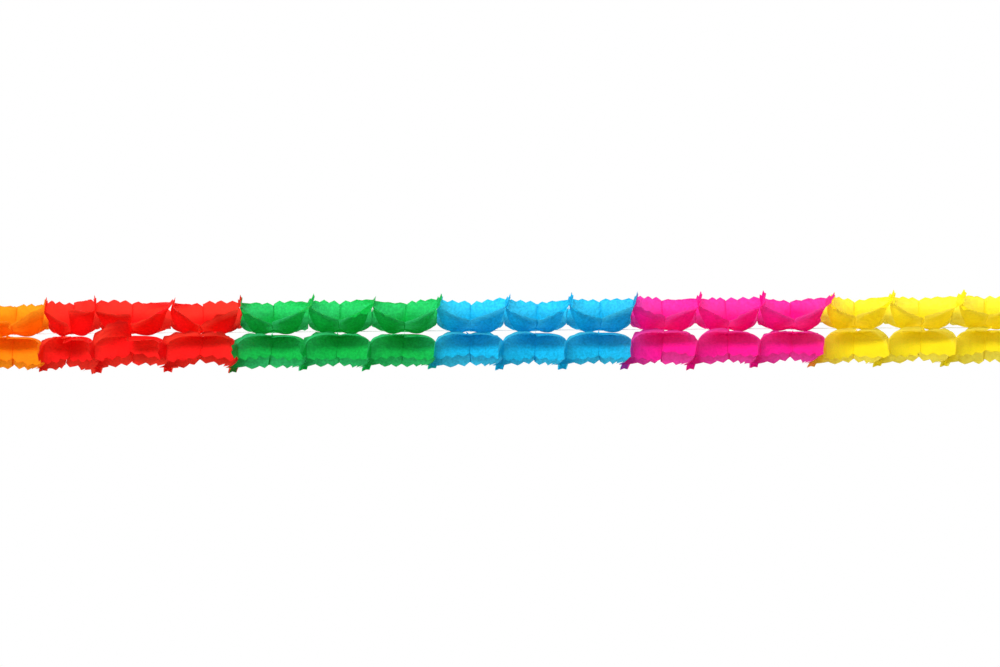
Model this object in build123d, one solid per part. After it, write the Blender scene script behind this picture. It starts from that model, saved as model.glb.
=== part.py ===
from build123d import *
import os
from math import acos, cos, degrees, radians, sin

import numpy as np

# Tissue-paper garland, pulled out straight along X. The thread runs along the middle of it.
# Each sheet is cut with four petals, at 45, 135, 225 and 315 degrees around the thread, and
# sheets are glued turn about at the petal tips and along the four slits between the petals.
# The part rests on its two lower rows of petal tips, with its origin on the ground below the
# middle.

# How far each cell is pulled open along the thread, colour by colour from the left end.
# A cell is the two sheets between one row of glued petal tips and the next.
cell_lengths = {
    "orange": (110.0, 110.0, 110.0),
    "red": (87.0, 122.0, 119.0),
    "green": (116.0, 110.0, 110.0),
    "blue": (115.0, 107.0, 110.0),
    "pink": (110.0, 106.0, 109.0),
    "yellow": (108.0, 114.0, 106.0),
}

# One sheet. Reach is measured from the thread.
paper = 0.4
petals = 4
tip_reach = 80.0
tip_glue_depth = 25.0
tip_glue_width = 38.0
seam_reach = 49.0
seam_angle = 34.5
slit_end_reach = 9.0
seam_glue_width = 5.0
neck_distance = 20.0
neck_reach = 5.0
teeth = 3
tooth_depth = 5.0
longest_miter = 9.0

# Thread and end cards.
thread_diameter = 1.0
pin_hole_clearance = 0.35
card = 0.8
thread_sides = 6
knot_radius = 2.0
knot_length = 3.6
loop_radius = 7.0
loop_length = 34.0
loop_bends = 6

petal_pitch = 360 / petals
pin_hole_reach = (thread_diameter / 2 + pin_hole_clearance) / cos(radians(petal_pitch / 2))
garland_length = sum(sum(cells) for cells in cell_lengths.values())
axis_height = tip_reach * sin(radians(45))


def around(angle, reach, across=0.0):
    """The Y and Z of a point at a reach along a petal's direction and a distance across it."""
    direction = np.array([cos(radians(angle)), sin(radians(angle))])
    sideways = np.array([-direction[1], direction[0]])
    return reach * direction + across * sideways


def point(x, yz):
    return np.array([x, yz[0], yz[1]])


def fold_points(depth):
    """Every corner of one folded sheet, whose tips lie at x = 0 and whose seams lie at depth.

    Each corner has a share of the paper's thickness that lies beyond it, on the seam side. The
    tips are glued on their back and have 1 there, and the seams are glued on their front and
    have 0.
    """
    places = {}
    for petal in range(petals):
        middle = 45 + petal * petal_pitch
        places[petal, "tip"] = point(0, around(middle, tip_reach)), 1
        places[petal, "neck"] = point(neck_distance, around(middle, neck_reach)), 0.5
        slit = middle + petal_pitch / 2
        places[petal, "slit end"] = point(depth, around(slit, slit_end_reach)), 0
        places[petal, "pin hole"] = point(depth, around(slit, pin_hole_reach)), 0
        for side in (-1, 1):
            base_yz = around(middle, tip_reach - tip_glue_depth, side * tip_glue_width / 2)
            base = point(0, base_yz)
            seam_end = point(depth, around(middle + side * seam_angle, seam_reach))
            slit_end = point(depth, around(middle + side * petal_pitch / 2, slit_end_reach))
            along = (slit_end - seam_end) / np.linalg.norm(slit_end - seam_end)
            inward = np.array([0, -along[2], along[1]]) * side
            places[petal, side, "seam"] = seam_end, 0
            places[petal, side, "glue"] = seam_end + seam_glue_width * inward, 0
            for tooth in range(teeth):
                share = tooth / teeth
                root = base + share * (seam_end - base)
                places[petal, side, "root", tooth] = root, 1 - share
    return places


def fold_panels():
    """The flat panels of a folded sheet, each named by its three corners."""
    panels = []
    for petal in range(petals):
        tip = (petal, "tip")
        neck = (petal, "neck")
        bases = {side: (petal, side, "root", 0) for side in (-1, 1)}
        slits = {1: petal, -1: (petal - 1) % petals}
        panels.append((bases[-1], bases[1], tip))
        panels.append((bases[1], bases[-1], neck))
        panels.append((neck, (slits[-1], "pin hole"), (slits[1], "pin hole")))
        for side in (-1, 1):
            seam = (petal, side, "seam")
            glue = (petal, side, "glue")
            slit_end = (slits[side], "slit end")
            hole = (slits[side], "pin hole")
            roots = [(petal, side, "root", tooth) for tooth in range(teeth)]
            for start, end in zip(roots, roots[1:]):
                panels.append((neck, start, end))
            panels.append((neck, roots[-1], glue))
            panels.append((roots[-1], seam, glue))
            panels.append((seam, slit_end, glue))
            panels.append((neck, glue, slit_end))
            panels.append((neck, slit_end, hole))
    return panels


def facing_forward(places, panel):
    """The panel's corners in turn, counter-clockwise as seen from the seam side."""
    a, b, c = (places[name][0] for name in panel)
    if np.cross(b - a, c - a)[0] < 0:
        return panel[0], panel[2], panel[1]
    return panel


def add_teeth(places, panels):
    """Pinking teeth, each a triangle that stands on one root of a petal's cut side."""
    for petal in range(petals):
        for side in (-1, 1):
            for tooth in range(teeth):
                start = (petal, side, "root", tooth)
                last = tooth == teeth - 1
                end = (petal, side, "seam") if last else (petal, side, "root", tooth + 1)
                third = (petal, side, "glue") if last else (petal, "neck")
                a, b, inside = (places[name][0] for name in (start, end, third))
                run = (b - a) / np.linalg.norm(b - a)
                outward = a - inside
                outward = outward - np.dot(outward, run) * run
                outward = outward / np.linalg.norm(outward)
                peak = (a + b) / 2 + tooth_depth * outward
                front_share = (places[start][1] + places[end][1]) / 2
                places[petal, side, "tooth", tooth] = peak, front_share
                panels.append((start, end, (petal, side, "tooth", tooth)))


def thickness_step(name, normals):
    """The step from a sheet's back to its front at one corner.

    It keeps every panel that meets there one paper thick, and a glued panel's two faces
    parallel.
    """
    normals = np.array(normals)
    weights = np.where(normals[:, 0] > 0.9999, 1000.0, 1.0)
    step = np.linalg.lstsq(normals * weights[:, None], weights, rcond=1e-6)[0]
    if any(normal[0] > 0.9999 for normal in normals) or "tip" in name:
        step = step / step[0]
    longest = max(np.linalg.norm(step), longest_miter)
    return paper * step * longest_miter / longest


def folded_sheet(depth):
    """One sheet as a closed solid: its back, its front and its cut edges."""
    places = fold_points(depth)
    panels = fold_panels()
    add_teeth(places, panels)
    panels = [facing_forward(places, panel) for panel in panels]
    normals = {name: [] for name in places}
    for panel in panels:
        a, b, c = (places[name][0] for name in panel)
        normal = np.cross(b - a, c - a)
        for name in panel:
            normals[name].append(normal / np.linalg.norm(normal))
    front = {}
    back = {}
    for name, (place, front_share) in places.items():
        step = thickness_step(name, normals[name])
        front[name] = Vector(*(place + front_share * step))
        back[name] = Vector(*(place - (1 - front_share) * step))
    edges = {edge for panel in panels for edge in zip(panel, panel[1:] + panel[:1])}
    faces = []
    for panel in panels:
        faces.append(Face(Wire.make_polygon([front[name] for name in panel])))
        faces.append(Face(Wire.make_polygon([back[name] for name in reversed(panel)])))
    for start, end in sorted(edges, key=str):
        if (end, start) not in edges:
            faces.append(Face(Wire.make_polygon([back[start], back[end], front[end]])))
            faces.append(Face(Wire.make_polygon([back[start], front[end], front[start]])))
    return Solid(Shell(faces))


def thread_section(radius):
    """A plain outline for the thin thread and what is tied or pierced along it."""
    return Plane.YZ * RegularPolygon(radius, thread_sides, major_radius=False)


def thread_loop():
    """The loop past a card, drawn with its knot at the origin and hanging out along +X."""
    centre = loop_length - loop_radius
    first_angle = degrees(acos(loop_radius / centre))
    turn = 2 * (180 - first_angle) / loop_bends
    angles = [180 - first_angle - bend * turn for bend in range(loop_bends + 1)]
    bend = [(centre + loop_radius * cos(radians(a)), loop_radius * sin(radians(a))) for a in angles]
    corners = [(0, 0), *bend, (0, 0)]
    path = Polyline([(corner_x, 0, corner_z) for corner_x, corner_z in corners])
    start = Plane(origin=(0, 0, 0), z_dir=path % 0)
    section = start * RegularPolygon(thread_diameter / 2, thread_sides, major_radius=False)
    return sweep(section, path=path, transition=Transition.RIGHT)


os.makedirs("parts", exist_ok=True)

# The sheets, cell by cell from the left end. The second sheet of a cell is the first one
# turned to face it, seam against seam.
x = -garland_length / 2
for colour, cells in cell_lengths.items():
    sheet = 1
    for length in cells:
        first = folded_sheet(length / 2)
        second = mirror(first, about=Plane.YZ)
        for solid, place in ((first, x), (second, x + length)):
            placed = solid.moved(Location((place, 0, axis_height)))
            placed.label = f"{colour}_sheet_{sheet}"
            export_step(placed, f"parts/{placed.label}.step")
            sheet += 1
        x += length

# The end cards, square, with a corner behind each outermost petal tip.
card_side = 2 * axis_height
card_hole = thread_section(thread_diameter / 2 + pin_hole_clearance)
card_blank = extrude(Plane.YZ * Rectangle(card_side, card_side) - card_hole, card)
for name, card_x in (("left", -garland_length / 2 - card), ("right", garland_length / 2)):
    export_step(card_blank.moved(Location((card_x, 0, axis_height))), f"parts/{name}_end_card.step")

# The thread. A knot on each face of a card holds the card out against the pull of the paper,
# and the outer one closes the loop that the garland hangs by.
inner_knot = garland_length / 2 - knot_length
outer_knot = garland_length / 2 + card
loop_start = outer_knot + knot_length / 2
thread = extrude(thread_section(thread_diameter / 2), loop_start, both=True)
for end in (Location(), Location((0, 0, 0), (0, 0, 180))):
    knot = extrude(thread_section(knot_radius), knot_length)
    for piece, piece_x in ((knot, inner_knot), (knot, outer_knot), (thread_loop(), loop_start)):
        thread += end * Pos(piece_x, 0, 0) * piece
export_step(thread.moved(Location((0, 0, axis_height))), "parts/hanging_thread.step")
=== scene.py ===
import math

import bmesh
import bpy
import numpy as np
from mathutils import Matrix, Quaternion, Vector


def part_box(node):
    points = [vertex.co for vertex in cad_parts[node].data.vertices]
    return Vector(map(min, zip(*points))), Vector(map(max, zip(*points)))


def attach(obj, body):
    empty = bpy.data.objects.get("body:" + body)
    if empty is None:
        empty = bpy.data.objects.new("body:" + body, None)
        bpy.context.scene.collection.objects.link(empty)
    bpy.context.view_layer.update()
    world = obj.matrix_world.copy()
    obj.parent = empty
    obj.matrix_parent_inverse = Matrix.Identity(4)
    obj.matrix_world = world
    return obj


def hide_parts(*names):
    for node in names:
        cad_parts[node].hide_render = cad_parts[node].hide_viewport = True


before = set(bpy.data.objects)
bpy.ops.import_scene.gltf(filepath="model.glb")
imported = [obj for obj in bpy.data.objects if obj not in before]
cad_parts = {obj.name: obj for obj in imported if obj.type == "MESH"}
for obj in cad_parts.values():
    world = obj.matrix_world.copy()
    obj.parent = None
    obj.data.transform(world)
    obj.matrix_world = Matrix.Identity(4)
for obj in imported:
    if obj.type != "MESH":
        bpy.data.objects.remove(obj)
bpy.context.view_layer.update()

# Tissue sheets. Each is one square of thin coloured tissue with pinked sides and a slit from the
# middle of each side, which leaves four petals. Sheets are glued back to back at the petal tips
# and face to face along the slits, turn about, so that they open into a row of billowing cells.

# The petals, by number and by the angle of their middle around the thread. Each has a side 0
# towards the petal before it and a side 1 towards the next one.
back_upper, front_upper, front_lower, back_lower = range(4)
petal_angles = (45, 135, 225, 315)
sheets_of_a_colour = 6
first_low, first_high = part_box("orange_sheet_1")
axis_height = (first_low[2] + first_high[2]) / 2
box_reach = (first_high[2] - first_low[2]) / 2

# Each half of a petal is a grid of points. Its rows run across the petal, one beyond the other
# from the thread outwards. Its columns cover the glued tip, the wing, and the strip at the slit.
row_count = 25
fold_row = 16
slit_row = 5
tip_columns = 12
wing_columns = 18
strip_columns = 2

# A folded sheet's sizes: metres along a petal from the thread, and degrees from its middle.
tip_reach = box_reach / math.sin(math.radians(45))
fork_depth = 0.0055
notch_reach = tip_reach - fork_depth
fold_base = 0.032
corner_reach = 0.055
slit_end_reach = 0.009
seam_reach = 0.049
widest_seam_angle = 43.5
strip_width = 0.005
strip_pucker = 0.0007
torn_hole_reach = (0.0042, 0.0056)
torn_slit_angle = 12.0
whole_slit_angle = 45.0
paper = 0.00006


def smooth_step(value, low, high):
    """A smooth rise from 0 at the low value to 1 at the high one."""
    share = np.clip((value - low) / (high - low), 0, 1)
    return share * share * (3 - 2 * share)


def between(start, end, share):
    """Points from start to end, one for each share from 0 to 1."""
    return np.asarray(start) + (np.asarray(end) - np.asarray(start)) * share[:, None]


def bezier(corners, share):
    """Points on a cubic curve with four corners, one for each share from 0 to 1."""
    t = share[:, None]
    a, b, c, d = (np.array(corner) for corner in corners)
    return (1 - t) ** 3 * a + 3 * t * (1 - t) ** 2 * b + 3 * t * t * (1 - t) * c + t**3 * d


class Tips:
    """A row of four glued petal tips, shared by the sheets on both sides of it."""

    usual_lean = (0.003, 0.010, -0.006, -0.011)
    usual_twist = (10, 8, 4, 75)
    lean_spread = 0.003
    twist_spread = 8
    length_spread = 0.16
    most_shortened = 0.35
    leans_from = 0.035
    twists_between = (0.040, 0.070)

    def __init__(self, x, random, crumple, on_card=False):
        self.x = x
        self.lean = np.array(self.usual_lean) + random.normal(0, self.lean_spread * crumple, 4)
        self.twist = np.array(self.usual_twist) + random.normal(0, self.twist_spread * crumple, 4)
        shortened = np.abs(random.normal(0, self.length_spread, 4)).clip(0, self.most_shortened)
        self.length = 1 - shortened
        if on_card:
            self.lean[:] = self.twist[:] = 0

    def bend(self, petal, along, across):
        """How a petal's points move along the garland, along the petal and across it.

        The tip leans to one side, is twisted about the petal's own direction, and is shorter
        where it was glued further in.
        """
        rise = smooth_step(along, self.leans_from, tip_reach)
        turn = np.radians(self.twist[petal]) * smooth_step(along, *self.twists_between)
        push = self.lean[petal] * rise + across * np.sin(turn)
        shorten = (self.length[petal] - 1) * np.maximum(along - corner_reach, 0)
        return push, shorten, across * (np.cos(turn) - 1)


class Seam:
    """The four glued slits in the middle of a cell, shared by both of its sheets."""

    reach_spread = 0.0024
    reach_limits = (-0.006, 0.004)
    turn_spread = 2.4
    shift_spread = 0.0025
    usual_shift = (0.001, 0.001, -0.002, -0.002)
    strip_leans = (0.0012, 0.003)

    def __init__(self, x, random, crumple):
        slits = (4, 2)
        self.x = x
        self.reach = random.normal(0, self.reach_spread * crumple, slits).clip(*self.reach_limits)
        self.turn = random.normal(0, self.turn_spread * crumple, slits)
        self.shift = random.normal(0, self.shift_spread * crumple, slits)
        self.shift += np.array(self.usual_shift)[:, None]
        self.lean = random.choice((-1, 1), slits) * random.uniform(*self.strip_leans, slits)


# Where the neck by the thread bends, as a share of the sheet's depth.
neck_bend = 0.42


def petal_ridge(depth, base_reach, bend, hole, corner):
    """The folded middle of a petal and the fold beside its glued tip, a point for each row.

    Up to the tip's base they are one and the same. There the fold leaves the ridge, and goes
    out to the corner where the wing starts.
    """
    rows = np.linspace(0, 1, row_count)
    inner = rows[: fold_row + 1] / rows[fold_row]
    outer = (rows[fold_row:] - rows[fold_row]) / (1 - rows[fold_row])
    base = np.array((0, base_reach, 0))
    dip, swing_x, swing_along = bend
    start = (depth, hole)
    corners = (start, (neck_bend * depth, -dip), (swing_x, swing_along), (0, base_reach))
    ridge = np.zeros((row_count, 3))
    ridge[: fold_row + 1, :2] = bezier(corners, inner)
    fold = ridge.copy()
    fold[fold_row:] = between(base, corner, outer)
    ridge[fold_row:] = between(base, (0, notch_reach, 0), outer)
    return ridge, fold


def petal_slit(depth, cut, hole, torn):
    """The cut edge at a petal's slit and the inner side of its glued strip, by rows."""
    reach, angle = cut
    slit = math.radians(torn_slit_angle if torn else whole_slit_angle)
    slit_start = np.array((depth, hole * math.cos(slit), hole * math.sin(slit)))
    slit_end = slit_start * (1, slit_end_reach / hole, slit_end_reach / hole)
    turn = math.radians(angle)
    cut_end = np.array((depth, reach * math.cos(turn), reach * math.sin(turn)))
    run = (cut_end - slit_end) / np.linalg.norm(cut_end - slit_end)
    strip_step = np.array((-strip_pucker, strip_width * run[2], -strip_width * run[1]))
    to_slit_end = between(slit_start, slit_end, np.linspace(0, 1, slit_row + 1))
    beyond = np.linspace(0, 1, row_count - slit_row)
    edge = np.concatenate([to_slit_end, between(slit_end, cut_end, beyond)[1:]])
    strip = np.concatenate([to_slit_end, between(slit_end, cut_end + strip_step, beyond)[1:]])
    return edge, strip


# Between which shares of a petal's length its wing changes roundness, and how its bulge grows.
wing_changes_between = (0.45, 0.95)
bulge_growth = 1.5


def petal_half(depth, ridge, fold, strip, edge, roundnesses, bulge):
    """Half of a petal: its glued tip, the wing that billows between its folds, and its strip.

    Points are (x, along, across): x from the tips to the seams at depth, along the petal and
    across it.
    """
    rows = np.linspace(0, 1, row_count)
    tip_share = np.linspace(0, 1, tip_columns + 1)[:-1]
    wing_share = np.linspace(0, 1, wing_columns + 1)
    strip_share = np.linspace(0, 1, strip_columns + 1)[1:]
    quarter = wing_share * math.pi / 2
    near_thread, at_edge = roundnesses
    grid = []
    for row in range(row_count):
        change = smooth_step(rows[row], *wing_changes_between)
        roundness = near_thread + (at_edge - near_thread) * change
        straight = between(fold[row], strip[row], wing_share)
        swept = between(fold[row], strip[row], np.sin(quarter))
        swept[:, 0] = between(fold[row], strip[row], 1 - np.cos(quarter))[:, 0]
        wing = (1 - roundness) * straight
        wing += roundness * swept
        wing[:, 2] += bulge * rows[row] ** bulge_growth * np.sin(math.pi * wing_share)
        tip = between(ridge[row], fold[row], tip_share)
        glued = between(strip[row], edge[row], strip_share)
        glued[:, 0] = depth
        grid.append(np.concatenate([tip, wing, glued]))
    return np.array(grid)


# Pinking teeth: their number and depth on a wing, and where the two points of a half tail reach.
wing_teeth = 3
tail_teeth = 2
tooth_depth = 0.0054
tail_prong = (0, 0.0072, 0.0030)
tail_side_tooth = (0, 0.0028, 0.0044)


def zigzag(columns, teeth):
    """Heights along a pinked side, from 0 in each notch to 1 at the point of each tooth."""
    share = np.arange(columns + 1) * teeth / columns
    return 1 - np.abs(2 * (share % 1) - 1)


def tooth_row(grid, curl):
    """Pinking teeth past the last row: each stands square to the cut side, curled a little."""
    last = grid[-1]
    further_in = grid[-4]
    teeth = last.copy()
    run = last[tip_columns + wing_columns] - last[tip_columns]
    run = run / np.linalg.norm(run)
    outward = last - further_in
    outward = outward - (outward @ run)[:, None] * run
    outward = outward / np.maximum(np.linalg.norm(outward, axis=1), 1e-9)[:, None]
    wing = slice(tip_columns, tip_columns + wing_columns + 1)
    curled = math.cos(curl) * outward[wing] + math.sin(curl) * np.cross(run, outward[wing])
    teeth[wing] += tooth_depth * zigzag(wing_columns, wing_teeth)[:, None] * curled
    # The two last teeth before the petal's point make a forked tail, with a notch between.
    heights = zigzag(tip_columns, tail_teeth)
    for column in range(tip_columns):
        on_prong = column < tip_columns / tail_teeth
        teeth[column] += heights[column] * np.array(tail_prong if on_prong else tail_side_tooth)
    return teeth


# Shares of a sheet's depth: how far its tips bend it, and from where its seam shifts it.
tips_bend_to = 0.8
seam_shifts_from = 0.3


def placed_half(grid, petal, side_number, tips, seam):
    """Half a petal in its place in the garland, bent with its tip and shifted with its seam."""
    facing = 1 if seam.x > tips.x else -1
    depth = abs(seam.x - tips.x) - paper
    side = (-1, 1)[side_number]
    middle = math.radians(petal_angles[petal])
    direction = np.array((math.cos(middle), math.sin(middle)))
    sideways = np.array((-direction[1], direction[0]))
    x, along, across = grid[..., 0], grid[..., 1], side * grid[..., 2]
    share = x / depth
    push, shorten, draw = tips.bend(petal, along, across)
    at_tips = 1 - smooth_step(share, 0, tips_bend_to)
    at_seam = smooth_step(share, seam_shifts_from, 1)
    along = along + shorten * at_tips
    across = across + draw * at_tips
    radial = np.hypot(along, across) / seam_reach
    on_strip = np.zeros(x.shape[1])
    on_strip[-strip_columns:] = np.linspace(0, 1, strip_columns + 1)[1:]
    places = np.empty(grid.shape)
    places[..., 0] = tips.x + facing * (x + paper / 2) + push * at_tips
    places[..., 0] += seam.shift[petal, side_number] * radial * at_seam
    places[..., 0] += seam.lean[petal, side_number] * radial * on_strip
    places[..., 1:] = along[..., None] * direction + across[..., None] * sideways
    places[..., 2] += axis_height
    return places


# Creases: how many cross a wing, how far apart they may be, and how high they stand. The broad
# ones stand higher the more the paper is crumpled, from a first amount on.
fine_creases = ((9, 0.010, 0.050, 0.0009), (7, 0.005, 0.012, 0.0004))
broad_creases = (3, 0.03, 0.07, 0.0032)
broad_from_crumple = 0.7
crease_middle = 0.64
crease_scale = 2.2
# Crumpling fades towards folds and glue, and grows from the thread to the cut side.
crumple_off_folds = 0.7
crumple_at_thread = 0.35
crumple_at_edge = 1.1
crumple_growth = 1.5


def crease_height(points, random, count, closest, widest):
    """How far straight creases at random lift the paper at some points, up to about 1."""
    directions = random.standard_normal((count, 3))
    directions /= np.linalg.norm(directions, axis=1)[:, None]
    spacings = np.exp(random.uniform(math.log(closest), math.log(widest), count))
    phases = random.uniform(0, 2 * math.pi, count)
    total = np.zeros(points.shape[:-1])
    for direction, spacing, phase in zip(directions, spacings, phases):
        turn = points @ direction * math.pi / spacing + phase
        total += (np.abs(np.sin(turn)) - crease_middle) * spacing
    return crease_scale * total / spacings.sum()


def crumple_paper(places, random, crumple):
    """Crumples half a petal, not where it is glued or folded, and most at its cut side."""
    lift = np.zeros(places.shape[:-1])
    for count, closest, widest, height in fine_creases:
        lift += height * crease_height(places, random, count, closest, widest)
    lift *= min(crumple, 1.0)
    count, closest, widest, height = broad_creases
    height = height * (crumple - broad_from_crumple)
    lift += height * crease_height(places, random, count, closest, widest)
    free = np.zeros(lift.shape)
    wing_share = np.linspace(0, 1, wing_columns + 1)
    free[:, tip_columns:-strip_columns] = np.sin(math.pi * wing_share) ** crumple_off_folds
    outward = np.linspace(0, 1, len(places))[:, None]
    lift *= free * (crumple_at_thread + crumple_at_edge * outward**crumple_growth)
    normal = np.cross(np.gradient(places, axis=0), np.gradient(places, axis=1))
    normal /= np.maximum(np.linalg.norm(normal, axis=-1), 1e-12)[..., None]
    places += normal * lift[..., None]


# Billows press flat from a margin inside the garland's own height, by a depth at most.
press_margin = 0.002
press_depth = 0.0035


def press_flat(places):
    """Presses the widest billows flat, so that none stands out past the glued tips."""
    away = places[..., 1:] - (0, axis_height)
    over = np.maximum(np.abs(away) - box_reach + press_margin, 0)
    pressed = np.abs(away) - over + press_depth * np.tanh(over / press_depth)
    places[..., 1:] = np.sign(away) * pressed + (0, axis_height)


def grid_faces(start, rows, columns, mirrored):
    """The faces of a grid of points whose first point has the number start in its mesh."""
    faces = []
    for row in range(rows - 1):
        for column in range(columns - 1):
            a = start + row * columns + column
            quad = (a, a + 1, a + columns + 1, a + columns)
            faces.append(quad[::-1] if mirrored else quad)
    return faces


# Points as near as this are one, and only a fold of a larger angle than this looks sharp.
join_distance = 2e-5
sharpest_smooth_fold = 38


def joined_mesh(name, vertices, faces):
    """A mesh whose pieces are joined where they meet, smooth all over but for its folds."""
    mesh = bpy.data.meshes.new(name)
    mesh.from_pydata(vertices, [], faces)
    joined = bmesh.new()
    joined.from_mesh(mesh)
    bmesh.ops.remove_doubles(joined, verts=joined.verts, dist=join_distance)
    bmesh.ops.dissolve_degenerate(joined, edges=joined.edges, dist=join_distance)
    joined.to_mesh(mesh)
    joined.free()
    mesh.shade_smooth()
    mesh.set_sharp_from_angle(angle=math.radians(sharpest_smooth_fold))
    return mesh


# How each petal hangs, in a row for each petal with a value for each of its two sides.
corner_across = ((0.018, 0.015), (0.013, 0.012), (0.0155, 0.016), (0.015, 0.015))
roundness_near_thread = ((0.90, 0.10), (0.40, 0.50), (0.68, 0.20), (0.10, 0.70))
roundness_at_edge = ((0.60, 0.05), (0.05, 0.03), (0.60, 0.10), (0.05, 0.60))
bulges = ((0.001, 0.001), (0.001, 0.002), (0.0068, 0.001), (0.001, 0.001))
seam_angles = ((26.0, 34.5), (34.5, 40.5), (34.5, 34.5), (34.5, 36.5))
seam_lengthening = ((0, 0), (0, -0.002), (0.001, -0.0048), (0, 0))
torn_slits = ((True, False), (False, True), (True, False), (False, True))
tooth_curls = ((0, 58), (35, 22), (10, 0), (0, 20))
# The ridge folded down each petal's middle: its dip near the thread, and how far it swings out
# and along. Then the least and most by which it swings out further, on the first sheet of a
# cell and on the second.
ridge_bends = ((0.003, 0.006, 0.009), (0.011, 0.006, 0.002), (0, 0.006, 0.009), (0, 0.006, 0.009))
ridge_swings = (
    ((0, 0.003), (0, 0.003)),
    ((0.005, 0.016), (0, 0.008)),
    ((0, 0.002), (0, 0.002)),
    ((0, 0.002), (0, 0.002)),
)
# Wings that sag on the second sheet of every cell, and by what angle.
sagging_wings = {(front_lower, 0): -5.0}
# Wings whose slits have come unglued and stand or hang as loose flaps: their angle and reach.
loose_wings = {
    ("red_sheet_2", front_upper, 1): (17.0, 0.056),
    ("red_sheet_3", front_upper, 1): (19.0, 0.047),
    ("red_sheet_3", front_lower, 0): (64.0, 0.046),
    ("pink_sheet_1", front_lower, 1): (38.0, 0.054),
}

# How much hand-folded sheets differ from each other, in metres and degrees.
swing_spread = 0.0014
base_spread = 0.0015
front_upper_rise = (0.004, 0.030)
cut_reach_spread = 0.0012
cut_angle_spread = 1.8
bulge_spread = 0.0016
roundness_spread = 0.05
corner_opening = 0.0018
opening_spread = 0.001
opening_limits = (0.0002, 0.005)
corner_spread = 0.0018
curl_spread = 15


def sheet_mesh(name, tips, seam, random, crumple):
    """One folded sheet between its row of glued tips and its glued slits."""
    closes_cell = seam.x < tips.x
    depth = abs(seam.x - tips.x) - paper
    vertices = []
    faces = []
    for petal in (back_upper, front_upper, front_lower, back_lower):
        dip, swing_x, swing_along = ridge_bends[petal]
        swing_x += random.uniform(*ridge_swings[petal][closes_cell])
        swing_along += random.normal(0, swing_spread * crumple)
        base_reach = fold_base + random.normal(0, base_spread)
        if petal == front_upper:
            base_reach += random.uniform(*front_upper_rise)
        hole = random.uniform(*torn_hole_reach)
        for side_number in (0, 1):
            reach = seam_reach + seam_lengthening[petal][side_number]
            reach += seam.reach[petal, side_number] + random.normal(0, cut_reach_spread * crumple)
            angle = seam_angles[petal][side_number] + seam.turn[petal, side_number]
            angle += random.normal(0, cut_angle_spread * crumple)
            if closes_cell:
                angle += sagging_wings.get((petal, side_number), 0.0)
            cut = (reach, min(angle, widest_seam_angle))
            if (name, petal, side_number) in loose_wings:
                loose_angle, loose_reach = loose_wings[name, petal, side_number]
                cut = (loose_reach, loose_angle)
            bulge = bulges[petal][side_number] + random.normal(0, bulge_spread * crumple)
            change = random.normal(0, roundness_spread)
            near_thread = roundness_near_thread[petal][side_number] + change
            at_edge = roundness_at_edge[petal][side_number] + change
            opening = corner_opening + random.normal(0, opening_spread * crumple)
            corner = np.array((0, corner_reach, corner_across[petal][side_number]))
            corner[0] = np.clip(opening, *opening_limits)
            corner[1:] += random.normal(0, corner_spread * crumple, 2)
            bend = (dip, swing_x, swing_along)
            ridge, fold = petal_ridge(depth, base_reach, bend, hole, corner)
            edge, strip = petal_slit(depth, cut, hole, torn_slits[petal][side_number])
            roundnesses = (near_thread, at_edge)
            grid = petal_half(depth, ridge, fold, strip, edge, roundnesses, bulge)
            curl = tooth_curls[petal][side_number] + random.normal(0, curl_spread)
            grid = np.concatenate([grid, tooth_row(grid, math.radians(curl))[None]])
            places = placed_half(grid, petal, side_number, tips, seam)
            crumple_paper(places, random, crumple)
            press_flat(places)
            rows, columns = places.shape[:2]
            mirrored = closes_cell != (side_number == 0)
            faces.extend(grid_faces(len(vertices), rows, columns, mirrored))
            vertices.extend(places.reshape(-1, 3).tolist())
    return joined_mesh(name, vertices, faces)


def new_node(tree, kind, **values):
    """A new node with some of its inputs set, by names that have underscores for spaces."""
    node = tree.nodes.new(kind)
    for socket, value in values.items():
        node.inputs[socket.replace("_", " ")].default_value = value
    return node


def shading(tree, texture, dark, light, low=0.0, high=1.0):
    """A colour that goes from dark to light as a texture goes from its low to its high."""
    ramp = tree.nodes.new("ShaderNodeValToRGB")
    for stop, position, colour in zip(ramp.color_ramp.elements, (low, high), (dark, light)):
        stop.position = position
        stop.color = (*colour, 1)
    tree.links.new(texture, ramp.inputs["Fac"])
    return ramp.outputs["Color"]


def relief(tree, texture, strength, distance, under=None):
    """Small bumps in a surface, as high as a texture says, on top of any relief under them."""
    bump = new_node(tree, "ShaderNodeBump", Strength=strength, Distance=distance)
    tree.links.new(texture, bump.inputs["Height"])
    if under is not None:
        tree.links.new(under, bump.inputs["Normal"])
    return bump.outputs["Normal"]


def mixed(tree, first, second, share=None):
    """Two shaders mixed half and half, or with as much of the second as a socket gives."""
    mix = new_node(tree, "ShaderNodeMixShader", Fac=0.5)
    if share is not None:
        tree.links.new(share, mix.inputs["Fac"])
    tree.links.new(first.outputs[0], mix.inputs[1])
    tree.links.new(second.outputs[0], mix.inputs[2])
    return mix


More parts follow.
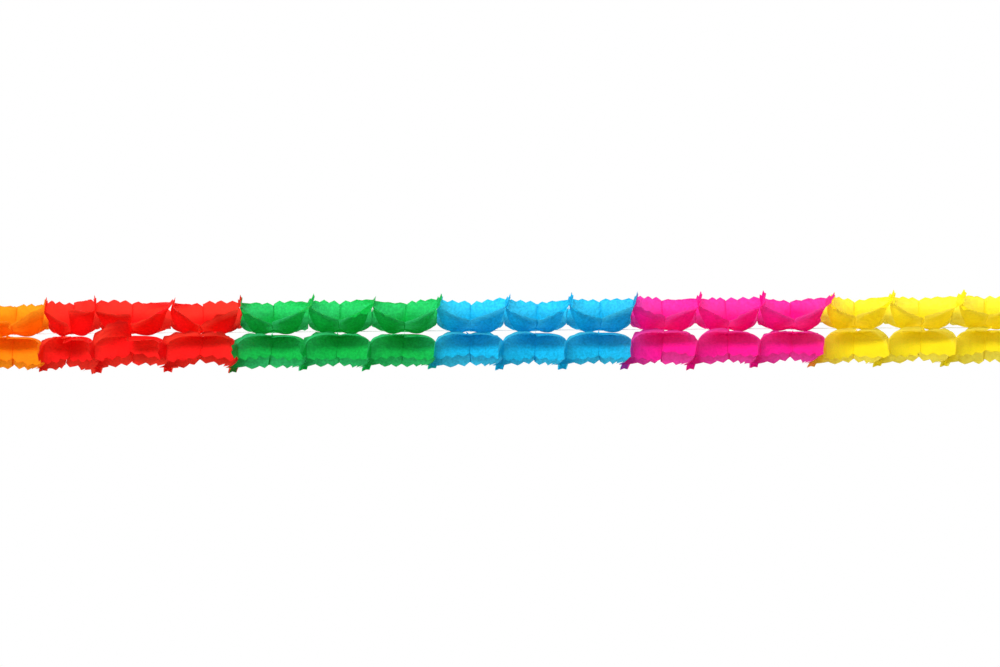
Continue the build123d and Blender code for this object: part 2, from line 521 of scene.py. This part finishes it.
def tissue_material(name, front, through, see_through, cloudiness):
    """Thin tissue: matt in front light, and glowing in its own colour with light behind it."""
    material = bpy.data.materials.new(name)
    material.use_nodes = True
    tree = material.node_tree
    tree.nodes.clear()
    place = tree.nodes.new("ShaderNodeTexCoord").outputs["Object"]
    lit = new_node(tree, "ShaderNodeBsdfPrincipled", Roughness=0.7, Specular_IOR_Level=0.08)
    glow = tree.nodes.new("ShaderNodeBsdfTranslucent")
    # The pulp lies in clouds, so the colour is deeper in some places than in others.
    clouds = new_node(tree, "ShaderNodeTexNoise", Scale=230.0, Detail=6.0, Roughness=0.7)
    tree.links.new(place, clouds.inputs["Vector"])
    for shader, socket, colour in ((lit, "Base Color", front), (glow, "Color", through)):
        deep = [(1 - cloudiness) * c for c in colour]
        pale = [min(1.0, (1 + 0.6 * cloudiness) * c) for c in colour]
        shade = shading(tree, clouds.outputs["Fac"], deep, pale, low=0.40, high=0.60)
        tree.links.new(shade, shader.inputs[socket])
    # Its face has fine crinkles, with the fibres on top of them.
    crinkle = new_node(tree, "ShaderNodeTexVoronoi", Scale=160.0)
    crinkle.feature = "DISTANCE_TO_EDGE"
    fibre = new_node(tree, "ShaderNodeTexNoise", Scale=420.0, Detail=4.0)
    for texture in (crinkle, fibre):
        tree.links.new(place, texture.inputs["Vector"])
    crinkles = relief(tree, crinkle.outputs["Distance"], 1.5 * cloudiness, 0.0008)
    fibres = relief(tree, fibre.outputs["Fac"], 2.2 * cloudiness, 0.0005, under=crinkles)
    for shader in (lit, glow):
        tree.links.new(fibres, shader.inputs["Normal"])
    # Between its fibres thin tissue has tiny gaps, through which what lies behind shows.
    gaps = new_node(tree, "ShaderNodeMapRange", From_Min=0.40, From_Max=0.64, To_Min=0.01)
    gaps.inputs["To Max"].default_value = see_through
    tree.links.new(clouds.outputs["Fac"], gaps.inputs["Value"])
    clear = new_node(tree, "ShaderNodeBsdfTransparent", Color=(*through, 1))
    tissue = mixed(tree, mixed(tree, lit, glow), clear, share=gaps.outputs["Result"])
    output = tree.nodes.new("ShaderNodeOutputMaterial")
    tree.links.new(tissue.outputs[0], output.inputs["Surface"])
    return material


# Each colour's tissue: how it looks in front light and with light behind it, how much shows
# through its gaps, how cloudy it is, and how much it is crumpled.
tissues = {
    "orange": ((0.94, 0.24, 0.002), (1.00, 0.42, 0.02), 0.03, 0.10, 1.5),
    "red": ((0.82, 0.006, 0.008), (1.00, 0.075, 0.04), 0.015, 0.09, 1.6),
    "green": ((0.001, 0.42, 0.05), (0.06, 0.72, 0.26), 0.08, 0.20, 0.9),
    "blue": ((0.001, 0.46, 0.76), (0.08, 0.68, 0.88), 0.08, 0.20, 0.8),
    "pink": ((0.97, 0.002, 0.30), (1.00, 0.10, 0.52), 0.12, 0.18, 1.1),
    "yellow": ((0.98, 0.80, 0.003), (1.00, 0.86, 0.13), 0.30, 0.14, 0.9),
}

random = np.random.default_rng(seed=7)
tips = Tips(first_low[0] + paper, random, crumple=1.0, on_card=True)
for colour, (front, through, see_through, cloudiness, crumple) in tissues.items():
    tissue = tissue_material(f"{colour}_tissue", front, through, see_through, cloudiness)
    for number in range(1, sheets_of_a_colour + 1):
        node = f"{colour}_sheet_{number}"
        low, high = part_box(node)
        # A cell's first sheet opens from its tips to a seam, and the second closes to new tips.
        if number % 2:
            seam = Seam(high[0], random, crumple)
        else:
            last = node == "yellow_sheet_6"
            tips = Tips(high[0] - paper * last, random, crumple, on_card=last)
        mesh = sheet_mesh(node, tips, seam, random, crumple)
        piece = bpy.data.objects.new(f"{colour}_tissue_{number}", mesh)
        bpy.context.scene.collection.objects.link(piece)
        piece.data.materials.append(tissue)
        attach(piece, "root")
        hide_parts(node)

# End cards. A square of pale card at each end, with a pin hole in its middle. The outermost
# petal tips are glued to its corners, and the thread's knots hold it on both faces.

card_stock = bpy.data.materials.new("end_card")
card_stock.use_nodes = True
card_tree = card_stock.node_tree
card_face = card_tree.nodes["Principled BSDF"]
card_face.inputs["Roughness"].default_value = 0.85
card_face.inputs["Specular IOR Level"].default_value = 0.2
card_place = card_tree.nodes.new("ShaderNodeTexCoord").outputs["Object"]
pulp = new_node(card_tree, "ShaderNodeTexNoise", Scale=90.0, Detail=8.0, Roughness=0.75)
card_tree.links.new(card_place, pulp.inputs["Vector"])
card_shade = shading(
    card_tree,
    pulp.outputs["Fac"],
    dark=(0.80, 0.78, 0.73),
    light=(0.90, 0.89, 0.85),
    low=0.35,
    high=0.62,
)
card_tree.links.new(card_shade, card_face.inputs["Base Color"])
# Short fibres are pressed into its face, and lie along one direction.
along_grain = new_node(card_tree, "ShaderNodeMapping", Scale=(1.0, 0.25, 1.0))
card_fibre = new_node(card_tree, "ShaderNodeTexNoise", Scale=900.0, Detail=3.0)
card_tree.links.new(card_place, along_grain.inputs["Vector"])
card_tree.links.new(along_grain.outputs["Vector"], card_fibre.inputs["Vector"])
card_grain = relief(card_tree, card_fibre.outputs["Fac"], strength=0.35, distance=0.0002)
card_tree.links.new(card_grain, card_face.inputs["Normal"])
for end in ("left", "right"):
    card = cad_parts[f"{end}_end_card"]
    for card_slot in card.material_slots:
        card_slot.material = card_stock

# Hanging thread. Twisted white cotton, run through the pin hole in the middle of every sheet.
# At each end it is knotted inside the card, knotted again outside it, and tied in a loop.

thread_thick = 0.001
knot_thread_thick = 0.00085
knot_size = 0.0038
knot_throw = 0.30 * knot_size
knot_lobe = 0.155 * knot_size
knot_steps = 18
inner_knot, outer_knot = 0.9877, 0.9921

cotton = bpy.data.materials.new("thread")
cotton.use_nodes = True
cotton_tree = cotton.node_tree
cotton_face = cotton_tree.nodes["Principled BSDF"]
cotton_face.inputs["Roughness"].default_value = 0.9
cotton_face.inputs["Specular IOR Level"].default_value = 0.15
cotton_face.inputs["Sheen Weight"].default_value = 0.3
# The slanting bands of its twisted plies. The dark of each band is painted shade in the groove
# between two plies, and the same bands also give the thread its relief.
plies = new_node(cotton_tree, "ShaderNodeTexWave", Scale=300.0, Distortion=1.5)
plies.bands_direction = "DIAGONAL"
cotton_place = cotton_tree.nodes.new("ShaderNodeTexCoord").outputs["Object"]
cotton_tree.links.new(cotton_place, plies.inputs["Vector"])
# Painted shade: the white cotton darkens to grey in the grooves of its twist.
painted_ply_shade = shading(cotton_tree, plies.outputs["Fac"], (0.50, 0.50, 0.49), (0.78, 0.78, 0.76))
cotton_tree.links.new(painted_ply_shade, cotton_face.inputs["Base Color"])
ply_relief = relief(cotton_tree, plies.outputs["Fac"], strength=0.6, distance=0.0002)
cotton_tree.links.new(ply_relief, cotton_face.inputs["Normal"])


def thread_curve(name, points, thick, closed=False):
    """A round thread on one smooth curve with these control points, in metres."""
    curve = bpy.data.curves.new(name, "CURVE")
    curve.dimensions = "3D"
    curve.bevel_depth = thick / 2
    curve.bevel_resolution = 4
    curve.resolution_u = 8
    curve.use_fill_caps = not closed
    line = curve.splines.new("NURBS")
    line.points.add(len(points) - 1)
    for place, (x, y, z) in zip(line.points, points):
        place.co = (x, y, z, 1)
    line.order_u = 3
    line.use_endpoint_u = not closed
    line.use_cyclic_u = closed
    piece = bpy.data.objects.new(name, curve)
    bpy.context.scene.collection.objects.link(piece)
    curve.materials.append(cotton)
    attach(piece, "root")
    return piece


# The loop out from the outer knot and back to it, then the way along the garland.
right_loop = [
    (outer_knot + 0.018, 0, -0.0046),
    (outer_knot + 0.029, 0, -0.0082),
    (outer_knot + 0.0332, 0, -0.0046),
    (outer_knot + 0.0332, 0, 0.0046),
    (outer_knot + 0.029, 0, 0.0082),
    (outer_knot + 0.018, 0, 0.0046),
    (outer_knot, 0, 0),
]
left_loop = [(-x, y, -z) for x, y, z in reversed(right_loop)]
route = [
    *left_loop,
    (-outer_knot, 0, 0),
    (-0.965, 0, 0.0008),
    (-0.93, 0, 0.0035),
    (0.93, 0, 0.0035),
    (0.965, 0, 0.0008),
    (outer_knot, 0, 0),
    *right_loop,
]
thread_route = [(x, y, z + axis_height) for x, y, z in route]
hanging_thread = thread_curve("hanging_thread_cotton", thread_route, thread_thick)
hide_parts("hanging_thread")
# A knot is one overhand turn of the thread, pulled tight into three lobes.
knot_turns = np.linspace(0, 2 * math.pi, knot_steps + 1)[:-1]
for end, side in (("left", -1), ("right", 1)):
    for place, x in (("inner", inner_knot), ("outer", outer_knot)):
        knot_points = [
            (
                side * x + knot_throw * math.sin(3 * turn),
                knot_lobe * (math.sin(turn) + 2 * math.sin(2 * turn)),
                axis_height + knot_lobe * (math.cos(turn) - 2 * math.cos(2 * turn)),
            )
            for turn in knot_turns
        ]
        knot_name = f"{end}_{place}_knot"
        thread_curve(knot_name, knot_points, knot_thread_thick, closed=True)

# Floor: a pale matt floor, well below the hung garland. To the eye it is as white as the
# backdrop, and it throws back light as the pale grey that it is.

floor_size = 60
floor_height = -1.9


def seen_by_eye(tree):
    """1 for what the eye sees, in gloss and glass too, and 0 for light that soaks through."""
    path = tree.nodes.new("ShaderNodeLightPath")
    seen = path.outputs["Is Camera Ray"]
    for ray in ("Is Glossy Ray", "Is Transmission Ray"):
        either = tree.nodes.new("ShaderNodeMath")
        either.operation = "MAXIMUM"
        tree.links.new(seen, either.inputs[0])
        tree.links.new(path.outputs[ray], either.inputs[1])
        seen = either.outputs[0]
    sharp = tree.nodes.new("ShaderNodeMath")
    sharp.operation = "SUBTRACT"
    sharp.use_clamp = True
    tree.links.new(seen, sharp.inputs[0])
    tree.links.new(path.outputs["Is Diffuse Ray"], sharp.inputs[1])
    return sharp.outputs[0]


bpy.ops.mesh.primitive_plane_add(size=floor_size, location=(0, 0, floor_height))
floor = bpy.context.object
floor.name = "floor"
floor_paint = bpy.data.materials.new("floor_paint")
floor_paint.use_nodes = True
floor_tree = floor_paint.node_tree
floor_face = floor_tree.nodes["Principled BSDF"]
floor_face.inputs["Base Color"].default_value = (0.35, 0.35, 0.35, 1)
floor_face.inputs["Roughness"].default_value = 0.9
floor_seen = floor_tree.nodes.new("ShaderNodeEmission")
floor_mix = mixed(floor_tree, floor_face, floor_seen, share=seen_by_eye(floor_tree))
floor_tree.links.new(floor_mix.outputs[0], floor_tree.nodes["Material Output"].inputs["Surface"])
floor.data.materials.append(floor_paint)

# Backdrop and lamps: a white room whose soft light comes from all round, a wide key lamp in
# front and to the left, one behind and above that makes the tissue glow, and one off each end.

room = bpy.data.worlds.new("white_room")
bpy.context.scene.world = room
room.use_nodes = True
room_tree = room.node_tree
room_tree.nodes.clear()
room_light = new_node(room_tree, "ShaderNodeBackground", Color=(1, 1, 1, 1), Strength=0.27)
room_seen = new_node(room_tree, "ShaderNodeBackground", Color=(1, 1, 1, 1), Strength=1.0)
room_mix = mixed(room_tree, room_light, room_seen, share=seen_by_eye(room_tree))
room_out = room_tree.nodes.new("ShaderNodeOutputWorld")
room_tree.links.new(room_mix.outputs[0], room_out.inputs["Surface"])


def soft_lamp(name, place, size, power):
    """A flat lamp of a width and height, that faces the middle of the garland."""
    lamp = bpy.data.lights.new(name, "AREA")
    lamp.shape = "RECTANGLE"
    lamp.size, lamp.size_y = size
    lamp.energy = power
    holder = bpy.data.objects.new(name, lamp)
    bpy.context.scene.collection.objects.link(holder)
    holder.location = place
    aim = Vector((0, 0, axis_height)) - Vector(place)
    holder.rotation_euler = aim.to_track_quat("-Z", "Y").to_euler()


soft_lamp("key_light", place=(-1.5, -4.6, 1.6), size=(3.6, 1.4), power=470)
soft_lamp("back_light", place=(-0.3, 2.2, 1.9), size=(3.2, 1.8), power=90)
soft_lamp("left_light", place=(-3.2, -0.8, 0.4), size=(0.8, 0.8), power=18)
soft_lamp("right_light", place=(3.2, -0.8, 0.4), size=(0.8, 0.8), power=18)

# Camera: in front of the garland and a little below it, looking up through a long lens. It aims
# where the photograph does, by the column at which the first blue sheet starts there.

picture_columns = 1000
middle_column = 500
blue_start_column = 436.5
metres_per_pixel = 0.0017
picture_width = picture_columns * metres_per_pixel
aim_below_thread = 0.002
elevation = math.radians(-15)
picture_tilt = math.radians(-0.4)
camera_distance = 5.0
film_width = 36

camera = bpy.data.objects.new("camera", bpy.data.cameras.new("camera"))
bpy.context.scene.collection.objects.link(camera)
bpy.context.scene.camera = camera
blue_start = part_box("blue_sheet_1")[0][0]
aim_x = blue_start + (middle_column - blue_start_column) * metres_per_pixel
view_centre = Vector((aim_x, 0, axis_height - aim_below_thread))
toward = Vector((0, -math.cos(elevation), math.sin(elevation)))
camera.location = view_centre + toward * camera_distance
look = (-toward).to_track_quat("-Z", "Y")
camera.rotation_euler = (look @ Quaternion((0, 0, 1), picture_tilt)).to_euler()
camera.data.sensor_width = film_width
camera.data.lens = film_width * camera_distance / picture_width

bpy.context.scene.view_settings.view_transform = "Standard"
